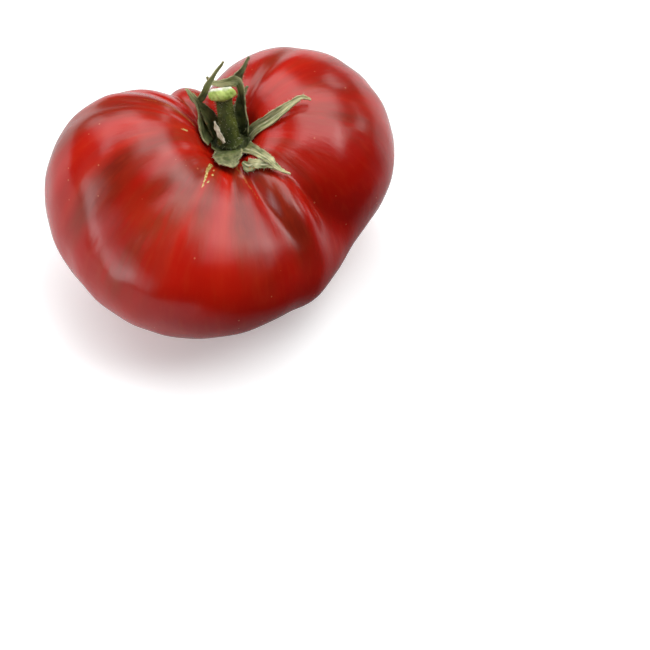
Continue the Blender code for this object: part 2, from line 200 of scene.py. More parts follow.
# Fruit: a soft union of lobes in millimetres, with the azimuth of each lobe's long axis, its centre
# and its half-sizes along, across and up
fruit = {
    "lobes": {
        "left": (180, (-24.6, -1.0, 1.2), (27.6, 28.2, 31.8)),
        "front": (-105, (-7.0, -11.5, -3.0), (37.5, 38.5, 24.0)),
        "right": (25, (20.8, 16.4, 2.6), (29.5, 32.4, 28.5)),
        "flank": (-25, (12.0, 2.0, 1.5), (23.5, 24.0, 23.5)),
        "hip": (-38, (18.0, -7.0, -8.0), (16.5, 17.0, 17.0)),
        "narrow": (-52, (14.2, -12.4, -1.2), (20.6, 10.4, 22.0)),
        "back": (121, (-6.0, 11.4, 1.2), (21.5, 10.5, 24.5)),
        "heel": (90, (-1.0, 18.5, -9.0), (20.0, 20.0, 18.5)),
        "core": (0, (0.0, -2.0, -8.0), (34.0, 31.0, 22.0)),
    },
    "heartLevel": 30.6,  # height of the lobes' common middle over the flat spot
    "stem": (2.5, 1.2),
    "creaseSoftness": 0.45,
    "baseSoftness": 4.0,
    "shoulderSoftness": 3.5,
    "flankSoftness": 2.0,
    "creaseEnd": (60.0, 120.0),  # polar angles over which the creases grow soft
    "creaseWidth": 1.1,  # width of the creases' darker colour
    "creaseFade": (55.0, 100.0),
    "hollowDepth": 6.0,
    "hollowRadius": 10.0,
    "seatRadius": 3.5,  # the level seat under the stem
    "seatFade": 10.0,
    "folds": ((-64, 1.3), (-88, 0.5), (-113, 0.5), (-141, 0.4), (156, 0.9), (174, 0.6), (62, 0.9), (10, 0.3)),
    "foldWidth": 5.0,
    "foldStart": (12.0, 24.0),
    "foldEnd": (45.0, 78.0),
    "segments": 400,
    "rings": 236,
    "crowding": 0.22,  # how much closer the rings stand round the stem
    "lumps": (0.10, 11.0, 3),  # height, size and seed of the skin's low unevenness
    "ribs": (0.035, 0.16, 5, 40),  # height, size, seed and waves of the faint meridian ribs
    "ribStretch": 160.0,
    "reliefStart": (14.0, 30.0),
    "scarDepth": 1.3,
    "scarRadius": 7.0,
    "scarEdge": (172.5, 175.0),  # polar angles where the blossom scar starts and is whole
    "shoulderFade": (60.0, 105.0),  # polar angles over which the brown shoulders give way to red
}
heart = np.array([*fruit["stem"], fruit["heartLevel"]])

# Colour bands down the skin: (polar, azimuth) along the band, half-width in degrees, strength
duskBands = (
    (((22, 158), (28, 166), (37, 168), (45, 172), (70, 178)), 7.0, 0.9),
    (((24, -156), (35, -151), (75, -150)), 5.0, 0.75),
    (((40, -133), (75, -136)), 4.0, 0.5),
    (((30, -117), (45, -122), (56, -120), (69, -124), (84, -128)), 6.5, 1.0),
    (((20, -107), (60, -104)), 5.0, 0.75),
    (((20, -80), (40, -80), (62, -84)), 6.0, 0.8),
    (((26, -60), (41, -56), (75, -55)), 5.5, 1.15),
    (((30, -30), (60, -22)), 7.0, 0.25),
    (((34, 4), (60, 6)), 9.0, 0.55),
    (((30, 28), (65, 26)), 7.0, 0.35),
    (((30, 68), (70, 66)), 6.0, 0.6),
    (((30, 92), (75, 95)), 9.0, 0.5),
    (((24, 122), (70, 124)), 6.0, 0.35),
    (((30, 140), (75, 142)), 4.0, 0.7),
)
glowBands = (
    (((14, 170), (24, -171), (31, -161), (37, -158), (56, -155), (75, -156)), 2.6, 1.0),
    (((13, -150), (32, -142), (39, -144), (60, -147), (80, -149)), 3.0, 1.0),
    (((18, -93), (42, -90), (75, -92)), 2.6, 0.8),
    (((26, 16), (80, 15)), 4.0, 0.4),
    (((26, 48), (70, 48)), 4.0, 0.6),
    (((30, 110), (75, 108)), 4.0, 0.6),
    (((34, -112), (70, -112)), 2.5, 0.5),
    (((30, -168), (70, -166)), 3.0, 0.5),
)
bandStart = (-8.0, 6.0)  # degrees before and after a band's first point over which it comes in
bandEnd = (-8.0, 18.0)

# Marks on the skin: (polar, azimuth) along each and its half-width in millimetres from start to end
marks = {
    "crack": (((27, -117.5), (32, -115.5), (38, -112.5), (45, -110.5)), (0.46, 0.22)),
    "speckOne": (((35, -107.5), (36, -107.0)), (0.30, 0.25)),
    "speckTwo": (((41, -108.0), (42, -108.5)), (0.28, 0.22)),
    "speckThree": (((31, -109.5), (31.6, -109.5)), (0.30, 0.25)),
    "leftDash": (((23.5, -168), (26, -165)), (0.24, 0.14)),
}
rustMarks = {
    "crease": (((23, -79), (33, -74), (44, -70.5), (52, -67.5)), (0.45, 0.22)),
    "valley": (((22, 167), (30, 166), (40, 169)), (0.40, 0.20)),
}
markSteps = 40

# Colours are in linear light. Two of them lie in patches, and a number before them is the patches' scale.
skin = {
    "ripe": ((0.36, 0.004, 0.001, 1.0), (0.45, 0.008, 0.002, 1.0)),
    "brown": ((0.20, 0.012, 0.004, 1.0), (0.27, 0.024, 0.007, 1.0)),
    "glow": (0.49, 0.014, 0.003, 1.0),
    "thread": (0.47, 0.030, 0.008, 1.0),
    "crease": (0.22, 0.035, 0.012, 1.0),
    "rust": (0.36, 0.10, 0.025, 1.0),
    "dot": (0.70, 0.26, 0.12, 1.0),
    "cork": (1600.0, (0.30, 0.20, 0.045, 1.0), (0.62, 0.52, 0.20, 1.0)),
    "corkBorder": ((-0.35, 0.25), 0.30, 0.55),  # how far a mark's border wanders and where it lies
    "rustBorder": ((-0.5, 0.3), 0.35, 0.75, 0.8),  # and how strong the mark is
    "scar": (700.0, (0.10, 0.055, 0.025, 1.0), (0.34, 0.24, 0.12, 1.0)),
    "scarBorder": ((-0.4, 0.3), 0.35, 0.6),
    "streakStretch": 220.0,  # the larger, the longer the streaks along a meridian
    "streakNoise": (26.0, 4.0),  # scale and detail
    "broadScale": 5.5,
    "patchScale": 38.0,
    "raggedScale": 1400.0,  # of the marks' borders
    "grainNoise": (900.0, 2.0),
    "grain": 0.25,  # height of the grain against the streaks
    "dotScale": 330.0,
    "dotSize": 0.09,
    "dotRarity": 0.80,  # share of the cells that have no dot
    "dotStrength": 0.32,
    "creaseStrength": 0.55,
    "creasePower": 3.0,  # the larger, the finer the creases' dark line
    "bump": (0.16, 0.0004),  # strength, and height in metres
    # Ranges: the result's two ends, and the values of the noise that give them
    "ripePatches": (0.0, 1.0, 0.35, 0.65),
    "brownPatches": (0.0, 1.0, 0.4, 0.6),
    "bandStreaks": (0.45, 1.25, *noiseRange),
    "looseBrown": (0.05, 0.75, 0.42, 0.68),
    "threads": (0.0, 0.20, 0.50, 0.70),
    "roughness": (0.22, 0.27, *noiseRange),
}


def reachOfLobe(lobe, directions):  # how far a ray from the heart runs before it leaves the lobe
    azimuth, centre, (length, width, height) = lobe
    turn = math.radians(azimuth)
    toUnit = np.array([
        [math.cos(turn) / length, math.sin(turn) / length, 0.0],
        [-math.sin(turn) / width, math.cos(turn) / width, 0.0],
        [0.0, 0.0, 1.0 / height],
    ])
    start = toUnit @ (np.array(centre) - np.array([*fruit["stem"], 0.0]))
    rays = directions @ toUnit.T
    a = (rays ** 2).sum(axis=-1)
    b = rays @ start
    root = b * b - a * ((start ** 2).sum() - 1.0)
    return np.where(root > 0.0, (b + np.sqrt(np.clip(root, 0.0, None))) / a, 0.0)


def lobedSurface(directions, polar):  # the lobes' outer surface, and how near each direction is to a crease
    reach = {name: reachOfLobe(lobe, directions) for name, lobe in fruit["lobes"].items()}
    sharp, soft = fruit["creaseSoftness"], fruit["baseSoftness"]
    softness = sharp + (soft - sharp) * smoothStep(polar, *fruit["creaseEnd"])
    left = softUnion([reach["left"], reach["front"]], np.maximum(softness, fruit["shoulderSoftness"]))
    right = softUnion([reach["right"], reach["flank"], reach["hip"]],
                      np.maximum(softness, fruit["flankSoftness"]))
    groups = np.sort([left, right, reach["narrow"], reach["back"]], axis=0)
    lobes = softUnion(groups, softness)
    crease = np.exp((groups[-2] - groups[-1]) / fruit["creaseWidth"])
    crease *= 1.0 - smoothStep(polar, *fruit["creaseFade"])
    return softUnion([lobes, reach["heel"], reach["core"]], softness), crease


def turnTo(azimuth, place):
    return (azimuth - place + 180.0) % 360.0 - 180.0


def fruitPoints(directions):
    polar = np.degrees(np.arccos(np.clip(directions[:, 2], -1.0, 1.0)))
    azimuth = np.degrees(np.arctan2(directions[:, 1], directions[:, 0]))
    reach, crease = lobedSurface(directions, polar)
    fade = smoothStep(polar, *fruit["foldStart"]) * (1.0 - smoothStep(polar, *fruit["foldEnd"]))
    for place, depth in fruit["folds"]:
        reach = reach - depth * np.exp(-(turnTo(azimuth, place) / fruit["foldWidth"]) ** 2) * fade
    relief = smoothStep(polar, *fruit["reliefStart"])
    height, size, seed = fruit["lumps"]
    reach = reach + height * wobble(directions * reach[:, None], size, seed) * relief
    height, size, seed, waves = fruit["ribs"]
    turn = np.radians(azimuth)
    around = np.stack([np.cos(turn), np.sin(turn), polar / fruit["ribStretch"]], axis=-1)
    reach = reach + height * wobble(around, size, seed, waves) * relief
    reach = reach - fruit["scarDepth"] * np.exp(-((180.0 - polar) / fruit["scarRadius"]) ** 4)
    points = directions * reach[:, None]
    upper = directions[:, 2] > 0.0
    away = np.hypot(points[:, 0], points[:, 1])
    points[:, 2] -= np.where(upper, fruit["hollowDepth"] * np.exp(-(away / fruit["hollowRadius"]) ** 2), 0.0)
    top = points[upper & (away < fruit["seatRadius"]), 2].mean()
    level = np.where(upper, smoothStep(away, fruit["seatRadius"], fruit["seatFade"]), 1.0)
    points[:, 2] = top + (points[:, 2] - top) * level
    points += heart
    points[:, 2] = np.maximum(points[:, 2], 0.0)  # the flat spot that it rests on
    away = np.hypot(points[:, 0] - heart[0], points[:, 1] - heart[1])
    dent = fruit["scarDepth"] * np.exp(-(away / fruit["scarRadius"]) ** 4)
    points[:, 2] += np.where(upper, 0.0, dent)
    return points * mm, polar, azimuth, crease


def bandStrength(polar, azimuth, bands):
    total = np.zeros_like(polar)
    for path, width, strength in bands:
        places = np.unwrap(np.radians([place for _, place in path]))
        middle = np.degrees(np.interp(polar, [angle for angle, _ in path], places))
        ends = smoothStep(polar - path[0][0], *bandStart) * (1.0 - smoothStep(polar - path[-1][0], *bandEnd))
        total += strength * np.exp(-(turnTo(azimuth, middle) / width) ** 2) * ends
    return total


def markShare(directions, reach, lines):  # 1 in the middle of a mark and 0 well outside it
    total = np.zeros(len(directions))
    for path, (thick, thin) in lines.values():
        turns = np.radians(np.array(path, dtype=float))
        steps = np.linspace(0.0, len(path) - 1.0, markSteps)
        polars = np.interp(steps, range(len(path)), turns[:, 0])
        azimuths = np.interp(steps, range(len(path)), turns[:, 1])
        out = np.sin(polars)
        ways = np.stack([out * np.cos(azimuths), out * np.sin(azimuths), np.cos(polars)], axis=-1)
        for way, width in zip(ways, np.linspace(thick, thin, markSteps)):
            away = np.linalg.norm(directions - way, axis=1) * reach / width
            total = np.maximum(total, np.exp(-away ** 2))
    return total


def raggedMark(tree, name, ragged, wander, low, high, most=1.0):  # a stored mark's share, its border ragged
    border = combine(tree, "ADD", stored(tree, name), spread(tree, ragged, *wander, *noiseRange))
    return spread(tree, border, 0.0, most, low, high)


def skinMaterial():
    material, tree, shader = newMaterial("skin", IOR=1.44, Subsurface_Weight=0.12, Subsurface_Scale=0.003,
                                         Subsurface_Radius=(1.0, 0.25, 0.12))
    place = objectPlace(tree)
    meridian = stored(tree, "meridian", "Vector")
    streaks = cloud(tree, meridian, *skin["streakNoise"])
    broad = cloud(tree, meridian, skin["broadScale"])
    patches = cloud(tree, place, skin["patchScale"])
    ragged = cloud(tree, place, skin["raggedScale"])
    ripe = mixColours(tree, spread(tree, patches, *skin["ripePatches"]), *skin["ripe"])
    ripe = mixColours(tree, stored(tree, "glow"), ripe, skin["glow"])
    brown = mixColours(tree, spread(tree, patches, *skin["brownPatches"]), *skin["brown"])
    banded = product(tree, stored(tree, "dusk"), spread(tree, streaks, *skin["bandStreaks"]))
    loose = product(tree, stored(tree, "shoulder"), spread(tree, broad, *skin["looseBrown"]))
    cover = addNode(tree, "Math", {0: banded, 1: loose}, operation="ADD", use_clamp=True).outputs[0]
    colour = mixColours(tree, cover, ripe, brown)
    colour = mixColours(tree, spread(tree, streaks, *skin["threads"]), colour, skin["thread"])
    deep = combine(tree, "POWER", stored(tree, "crease"), skin["creasePower"])
    colour = mixColours(tree, product(tree, deep, skin["creaseStrength"]), colour, skin["crease"])
    cork = raggedMark(tree, "cork", ragged, *skin["corkBorder"])
    colour = mixColours(tree, cork, colour, mottle(tree, place, *skin["cork"]))
    rust = raggedMark(tree, "rust", ragged, *skin["rustBorder"])
    colour = mixColours(tree, rust, colour, skin["rust"])
    scar = raggedMark(tree, "scar", ragged, *skin["scarBorder"])
    colour = mixColours(tree, scar, colour, mottle(tree, place, *skin["scar"]))
    dots = addNode(tree, "TexVoronoi", {"Vector": place, "Scale": skin["dotScale"]})
    chosen = addNode(tree, "SeparateColor", {"Color": dots.outputs["Color"]}).outputs[0]
    dot = product(tree, combine(tree, "LESS_THAN", dots.outputs["Distance"], skin["dotSize"]),
                  combine(tree, "GREATER_THAN", chosen, skin["dotRarity"]), skin["dotStrength"])
    colour = mixColours(tree, dot, colour, skin["dot"])
    feed(tree, shader, {"Base Color": colour, "Roughness": spread(tree, broad, *skin["roughness"])})
    grain = product(tree, cloud(tree, place, *skin["grainNoise"]), skin["grain"])
    addBump(tree, shader, combine(tree, "ADD", streaks, grain), *skin["bump"])
    return material


def makeFruit():
    bm = bmesh.new()
    bmesh.ops.create_grid(bm, x_segments=fruit["segments"], y_segments=fruit["rings"], size=1.0)
    for vertex in bm.verts:  # the sheet is rolled into a ball and its seam and poles are closed
        turn, polar = math.pi * vertex.co.x, math.pi * (1.0 - vertex.co.y) / 2.0
        polar -= fruit["crowding"] * math.sin(polar)
        vertex.co = (math.sin(polar) * math.cos(turn), math.sin(polar) * math.sin(turn), math.cos(polar))
    bmesh.ops.remove_doubles(bm, verts=bm.verts, dist=1e-5)
    bmesh.ops.recalc_face_normals(bm, faces=bm.faces)
    directions = np.array([vertex.co.normalized() for vertex in bm.verts])
    points, polar, azimuth, crease = fruitPoints(directions)
    for vertex, point in zip(bm.verts, points):
        vertex.co = point
    piece = newPiece("tomatoSkin", bm, skinMaterial(), "fruit")
    mesh = piece.data
    reach = np.linalg.norm(points / mm - heart, axis=1)
    keep(mesh, "cork", markShare(directions, reach, marks))
    keep(mesh, "rust", markShare(directions, reach, rustMarks))
    keep(mesh, "scar", smoothStep(polar, *fruit["scarEdge"]))
    turn = np.radians(azimuth)
    meridian = np.stack([np.cos(turn), np.sin(turn), polar / skin["streakStretch"]], axis=-1)
    keep(mesh, "meridian", meridian, "FLOAT_VECTOR")
    keep(mesh, "dusk", bandStrength(polar, azimuth, duskBands))
    keep(mesh, "glow", np.clip(bandStrength(polar, azimuth, glowBands), 0.0, 1.0))
    keep(mesh, "crease", crease)
    shoulder = smoothStep(polar, *fruit["reliefStart"]) * (1.0 - smoothStep(polar, *fruit["shoulderFade"]))
    keep(mesh, "shoulder", shoulder)
    return piece


def skinHeight(x, y):
    return skinTree.ray_cast(Vector((x, y, 1.0)), Vector((0, 0, -1)))[0].z


def clearOfSkin(point, clearance):  # the point, or moved straight out of the skin until it is clear of it
    nearest, normal = skinTree.find_nearest(point)[:2]
    over = (point - nearest).dot(normal)
    return point + normal * max(clearance - over, 0.0)


fruitPiece = makeFruit()
skinShape = bmesh.new()
skinShape.from_mesh(fruitPiece.data)
skinTree = BVHTree.FromBMesh(skinShape)
skinShape.free()
stemX, stemY = (value * mm for value in fruit["stem"])
stemPoint = Vector((stemX, stemY, skinHeight(stemX, stemY)))
print("fruit made, stem point", [round(value / mm, 2) for value in stemPoint])


# Calyx: paths in millimetres from the stem point, full widths at even steps along them (rightWidth where the
# right side differs), and how dry and pale each sepal is, partly painted shade: sepals that stand in shade
# get less and stay darker green
sepals = {
    "right": {
        "path": ((5.6, 2.2, 2.2), (7.6, 2.0, 5.2), (11.7, 1.2, 9.6), (15.7, 2.3, 12.6), (18.5, 3.7, 14.2),
                 (20.9, 4.8, 15.0), (23.4, 5.2, 13.8)),
        "width": (3.6, 3.6, 3.4, 2.7, 1.8, 1.2, 0.5),
        "face": ((-0.3, -0.6, 0.8), (0.0, -0.5, 0.9)),
        "fold": 0.55,
        "ragged": 0.12,
        "dustAndShade": 0.9,
    },
    "lowerRight": {
        "path": ((4.6, -3.0, 1.8), (7.0, -5.9, 3.8), (8.9, -8.5, 5.2), (11.6, -11.3, 5.6), (13.2, -12.9, 5.2),
                 (15.6, -14.5, 4.4), (17.7, -14.4, 3.4)),
        "width": (5.4, 3.8, 3.2, 2.9, 1.8, 1.0, 0.5),
        "rightWidth": (5.4, 3.4, 2.6, 2.7, 1.8, 1.0, 0.5),
        "face": ((0.1, -0.3, 0.95), (0.3, -0.2, 0.9)),
        "fold": 0.35,
        "ragged": 0.16,
        "dustAndShade": 1.0,
    },
    "tornFlap": {
        "path": ((4.1, -9.9, 3.4), (5.7, -11.6, 3.9), (7.5, -11.7, 4.6), (9.7, -12.4, 5.1),
                 (11.8, -12.9, 5.3), (14.0, -13.9, 4.8)),
        "width": (0.6, 3.4, 3.0, 2.4, 1.8, 1.0),
        "rightWidth": (0.6, 3.8, 2.8, 2.2, 1.6, 0.9),
        "face": ((-0.2, -0.6, 0.8), (0.0, -0.6, 0.8)),
        "fold": 0.1,
        "ragged": 0.3,
        "dustAndShade": 0.8,
    },
    "front": {
        "path": ((-0.4, -3.3, 1.4), (0.2, -6.4, 2.6), (1.0, -9.6, 3.5), (1.7, -12.1, 3.8)),
        "width": (8.0, 7.4, 4.4, 0.9),
        "rightWidth": (8.0, 9.4, 7.2, 1.0),
        "face": ((0.0, -0.1, 1.0), (-0.1, -0.2, 1.0)),
        "fold": 0.1,
        "ragged": 0.35,
        "dustAndShade": 0.32,
    },
    "left": {
        "path": ((-5.4, 0.7, 1.6), (-7.5, 2.1, 3.6), (-8.1, 3.4, 6.4), (-8.6, 4.4, 9.2), (-9.4, 5.0, 12.4),
                 (-10.8, 5.3, 15.2), (-12.3, 5.6, 17.6)),
        "width": (6.0, 6.0, 5.2, 3.8, 2.0, 2.0, 0.5),
        "face": ((0.7, -0.3, 0.7), (0.9, -0.4, 0.2)),
        "fold": 0.4,
        "ragged": 0.2,
        "dustAndShade": 0.4,
    },
    "elbow": {
        "path": ((-3.7, 3.3, 1.8), (-4.8, 3.8, 4.6), (-6.1, 4.6, 7.9), (-7.6, 5.2, 10.5), (-9.1, 5.8, 12.0),
                 (-7.5, 6.6, 14.3), (-6.0, 7.6, 17.3), (-3.7, 9.4, 20.5), (-1.4, 11.2, 23.0)),
        "width": (4.0, 4.2, 3.8, 2.6, 1.9, 2.1, 1.8, 1.1, 0.5),
        "face": ((0.6, -0.6, 0.5), (0.3, -0.9, 0.3)),
        "fold": 0.3,
        "ragged": 0.12,
        "dustAndShade": 0.2,
    },
    "back": {
        "path": ((4.9, 3.4, 2.0), (5.2, 4.6, 6.0), (4.4, 5.8, 9.9), (3.8, 7.6, 13.6), (3.2, 8.8, 16.7),
                 (1.8, 9.8, 16.7), (-0.4, 10.6, 15.4), (-3.2, 10.9, 14.8), (-5.4, 11.0, 15.4),
                 (-6.5, 11.1, 17.2)),
        "width": (3.8, 3.4, 2.8, 2.4, 2.4, 3.0, 2.6, 1.8, 1.2, 0.5),
        "face": ((-1.0, -0.3, 0.1), (0.0, -0.7, 0.7)),
        "fold": 0.3,
        "ragged": 0.12,
        "dustAndShade": 0.4,
    },
    "backRight": {
        "path": ((2.6, 4.4, 1.6), (3.0, 5.4, 5.4), (3.2, 6.8, 9.6), (3.3, 8.8, 12.5), (2.9, 10.6, 14.8),
                 (2.5, 11.4, 16.8), (4.1, 12.0, 19.6), (5.8, 12.8, 23.3)),
        "width": (4.4, 4.2, 3.2, 1.8, 2.0, 2.6, 1.3, 0.5),
        "face": ((-0.3, -0.9, 0.2), (-0.2, -0.9, 0.4)),
        "fold": 0.3,
        "ragged": 0.12,
        "dustAndShade": 0.15,
    },
    "behind": {
        "path": ((0.0, 5.0, 1.4), (1.2, 7.6, 4.8), (3.2, 10.4, 9.2), (5.1, 12.0, 12.8)),
        "width": (4.0, 3.2, 2.0, 0.5),
        "face": ((0.0, -0.6, 0.8), (-0.4, -0.8, 0.4)),
        "fold": 0.25,
        "ragged": 0.12,
        "dustAndShade": 0.3,
    },
}
leaf = {
    "steps": 90,
    "cross": 14,
    "thickness": 0.42,
    "clearance": 0.45,
    "wave": 0.22,
    "waves": 2.5,
    "midrib": 0.22,  # how far the midrib stands out
    "midribWidth": 0.16,
    "veins": 0.07,  # depth of the side veins
    "veinPace": 24.0,
    "veinSlant": 5.0,
    "tatters": ((1.0, 37.0, 1.0), (0.6, 83.0, 2.0), (0.5, 141.0, -1.0)),  # ragged edge: size, pace and phase
    "tatterStart": 0.6,
    "tatterEnd": 6.0,
    "pathStep": 0.02,
    "streakPace": 1.6,  # the larger, the shorter the streaks along the blade
    # Patches: their scale, two colours, and the noise's limits between them and its detail
    "green": (420.0, (0.020, 0.034, 0.007, 1.0), (0.105, 0.130, 0.034, 1.0), 0.36, 0.66, 6.0),
    "dusty": (3.2, (0.11, 0.145, 0.048, 1.0), (0.64, 0.60, 0.34, 1.0), 0.36, 0.60, 5.0),
    "rib": (900.0, (0.44, 0.44, 0.24, 1.0), (0.68, 0.66, 0.44, 1.0)),
    "tip": (0.56, 0.52, 0.27, 1.0),
    "rim": (0.46, 0.44, 0.24, 1.0),
    "spot": (0.42, 0.15, 0.03, 1.0),
    "agedScale": 210.0,
    "rimScale": 480.0,
    "spotScale": 620.0,
    "grainScale": 1800.0,
    "bump": (0.5, 0.0002),
    # Ranges: the result's two ends, and the values of the noise or attribute that give them
    "dryLength": (0.3, 1.0, 0.05, 0.5),
    "dryPatches": (0.45, 1.0, 0.35, 0.55),
    "tipLength": (0.0, 0.75, 0.65, 1.0),
    "ribEdge": (0.85, 0.0, 0.02, 0.16),
    "ribDustAndShade": (0.0, 1.0, 0.4, 0.8),
    "rimEdge": (0.0, 0.8, 0.88, 0.98),
    "rimPatches": (0.1, 1.0, 0.42, 0.58),
    "spotPatches": (0.0, 1.0, 0.50, 0.60),
    "spotSize": (0.75, 0.0, 0.10, 0.22),
}


def leafFrame(sepal, t):  # the middle of the blade at t, with the ways sideways and up
    middle = Vector(along(sepal["path"], t)) * mm
    step = leaf["pathStep"]
    forward = Vector(along(sepal["path"], t + step)) - Vector(along(sepal["path"], t - step))
    look = Vector(sepal["face"][0]).normalized().lerp(Vector(sepal["face"][1]).normalized(), t)
    sideways = look.cross(forward).normalized()
    return stemPoint + middle, sideways, forward.cross(sideways).normalized(), forward.normalized()


def leafPoint(sepal, t, side, seed):
    middle, sideways, up, forward = leafFrame(sepal, t)
    widths = sepal["width"] if side > 0 else sepal.get("rightWidth", sepal["width"])
    width = float(along(widths, t)) * mm / 2.0
    tatter = sum(size * math.sin(pace * t + phase * seed) for size, pace, phase in leaf["tatters"])
    tatter *= max(abs(side) - leaf["tatterStart"], 0.0) * min(1.0, leaf["tatterEnd"] * (1.0 - t))
    width += sepal["ragged"] * mm * tatter
    rise = sepal["fold"] * abs(side) * width
    rise += leaf["wave"] * mm * abs(side) * math.sin(leaf["waves"] * 2 * math.pi * t + side + seed)
    rise += leaf["midrib"] * mm * math.exp(-(side / leaf["midribWidth"]) ** 2) * (1.0 - t)
    vein = abs(math.sin(leaf["veinPace"] * t - leaf["veinSlant"] * abs(side)))
    rise -= leaf["veins"] * mm * vein * abs(side)
    return clearOfSkin(middle + sideways * (side * width) + up * rise, leaf["clearance"] * mm)


def leafMaterial():
    material, tree, shader = newMaterial("calyxLeaf", Roughness=0.6, IOR=1.4, Subsurface_Weight=0.08,
                                         Subsurface_Scale=0.001)
    place = objectPlace(tree)
    blade = stored(tree, "blade", "Vector")
    length = stored(tree, "length")
    # how dry and pale each sepal is, partly painted shade: sepals that stand in shade get less of it and stay
    # darker green
    dustAndShade = stored(tree, "dustAndShade")
    edge = combine(tree, "ABSOLUTE", stored(tree, "side"))
    aged = cloud(tree, place, leaf["agedScale"])
    patchy = cloud(tree, place, leaf["rimScale"])
    green = mottle(tree, place, *leaf["green"])
    dusty = mottle(tree, blade, *leaf["dusty"])
    dry = product(tree, spread(tree, length, *leaf["dryLength"]), spread(tree, aged, *leaf["dryPatches"]))
    colour = mixColours(tree, product(tree, dry, dustAndShade), green, dusty)
    tip = product(tree, spread(tree, length, *leaf["tipLength"]), dustAndShade)
    colour = mixColours(tree, tip, colour, leaf["tip"])
    rib = product(tree, spread(tree, edge, *leaf["ribEdge"]), spread(tree, dustAndShade, *leaf["ribDustAndShade"]))
    colour = mixColours(tree, rib, colour, mottle(tree, place, *leaf["rib"]))
    rim = product(tree, spread(tree, edge, *leaf["rimEdge"]), spread(tree, patchy, *leaf["rimPatches"]))
    colour = mixColours(tree, rim, colour, leaf["rim"])
    cells = addNode(tree, "TexVoronoi", {"Vector": place, "Scale": leaf["spotScale"]}).outputs["Distance"]
    where = spread(tree, aged, *leaf["spotPatches"])
    spots = product(tree, spread(tree, cells, *leaf["spotSize"]), where)
    colour = mixColours(tree, spots, colour, leaf["spot"])
    feed(tree, shader, {"Base Color": colour})
    addBump(tree, shader, cloud(tree, place, leaf["grainScale"]), *leaf["bump"])
    return material


def makeSepal(name, sepal, seed, material):
    bm = bmesh.new()
    bmesh.ops.create_grid(bm, x_segments=leaf["steps"], y_segments=leaf["cross"], size=1.0)
    places = [((vertex.co.x + 1.0) / 2.0, vertex.co.y) for vertex in bm.verts]
    for vertex, (t, side) in zip(bm.verts, places):
        vertex.co = leafPoint(sepal, t, side, seed)
    piece = newPiece("sepal" + name[0].upper() + name[1:], bm, material, "calyx")
    keep(piece.data, "length", [t for t, side in places])
    keep(piece.data, "side", [side for t, side in places])
    keep(piece.data, "dustAndShade", np.full(len(places), sepal["dustAndShade"]))
    keep(piece.data, "blade", [(side, leaf["streakPace"] * t, seed) for t, side in places], "FLOAT_VECTOR")
    thicken(piece, leaf["thickness"])


disc = {
    "radius": 6.4,
    "sides": 90,
    "rings": 16,
    "lift": 0.55,
    "ripple": 0.35,
    "ripples": 7,
    "cup": 1.0,  # how far the front left edge is lifted off the skin
    "cupTurn": -135.0,
    "teeth": 11,
    "toothDepth": 0.05,
    # how dry and pale the disc is, partly painted shade
    "dustAndShade": 0.3,
    "streakPace": 2.0,
    "streakLayer": -1.0,  # the sepals' streaks take the layers from 0 up
    "edge": (0.2, 0.9),  # what the disc's middle and rim are to a sepal's width
}


def makeDisc(material):  # the calyx disc follows the skin round the foot of the stem
    bm = bmesh.new()
    step = disc["radius"] * mm / disc["rings"]
    bmesh.ops.create_circle(bm, cap_ends=False, segments=disc["sides"], radius=step)
    bmesh.ops.contextual_create(bm, geom=bm.edges[:])
    edge = [e for e in bm.edges if e.is_boundary]
    for ring in range(2, disc["rings"] + 1):
        made = bmesh.ops.extrude_edge_only(bm, edges=edge)["geom"]
        edge = [e for e in made if isinstance(e, bmesh.types.BMEdge) and e.is_boundary]
        for vertex in {v for e in edge for v in e.verts}:
            vertex.co = vertex.co.normalized() * (step * ring)
    bmesh.ops.poke(bm, faces=[f for f in bm.faces if len(f.verts) > 4])
    reaches, blades = [], []
    for vertex in bm.verts:
        away = vertex.co.length / (disc["radius"] * mm)
        turn = math.atan2(vertex.co.y, vertex.co.x)
        pace = disc["streakPace"] * away
        reaches.append(away)
        blades.append((pace * math.cos(turn), pace * math.sin(turn), disc["streakLayer"]))
        vertex.co *= 1.0 + disc["toothDepth"] * away * math.sin(disc["teeth"] * turn)
        x, y = stemPoint.x + vertex.co.x, stemPoint.y + vertex.co.y
        ripple = disc["ripple"] * away ** 2 * (1.0 + math.sin(disc["ripples"] * turn))
        ripple += disc["cup"] * away ** 3 * max(math.cos(turn - math.radians(disc["cupTurn"])), 0.0) ** 2
        vertex.co = clearOfSkin(Vector((x, y, skinHeight(x, y))), (disc["lift"] + ripple) * mm)
    bmesh.ops.recalc_face_normals(bm, faces=bm.faces)
    piece = newPiece("calyxDisc", bm, material, "calyx")
    inner, outer = disc["edge"]
    keep(piece.data, "length", np.zeros(len(reaches)))
    keep(piece.data, "side", inner + (outer - inner) * np.array(reaches))
    keep(piece.data, "dustAndShade", np.full(len(reaches), disc["dustAndShade"]))
    keep(piece.data, "blade", blades, "FLOAT_VECTOR")
    thicken(piece, leaf["thickness"])


calyxMaterial = leafMaterial()
for seed, (name, sepal) in enumerate(sepals.items()):
    makeSepal(name, sepal, seed, calyxMaterial)
makeDisc(calyxMaterial)
print("calyx made")


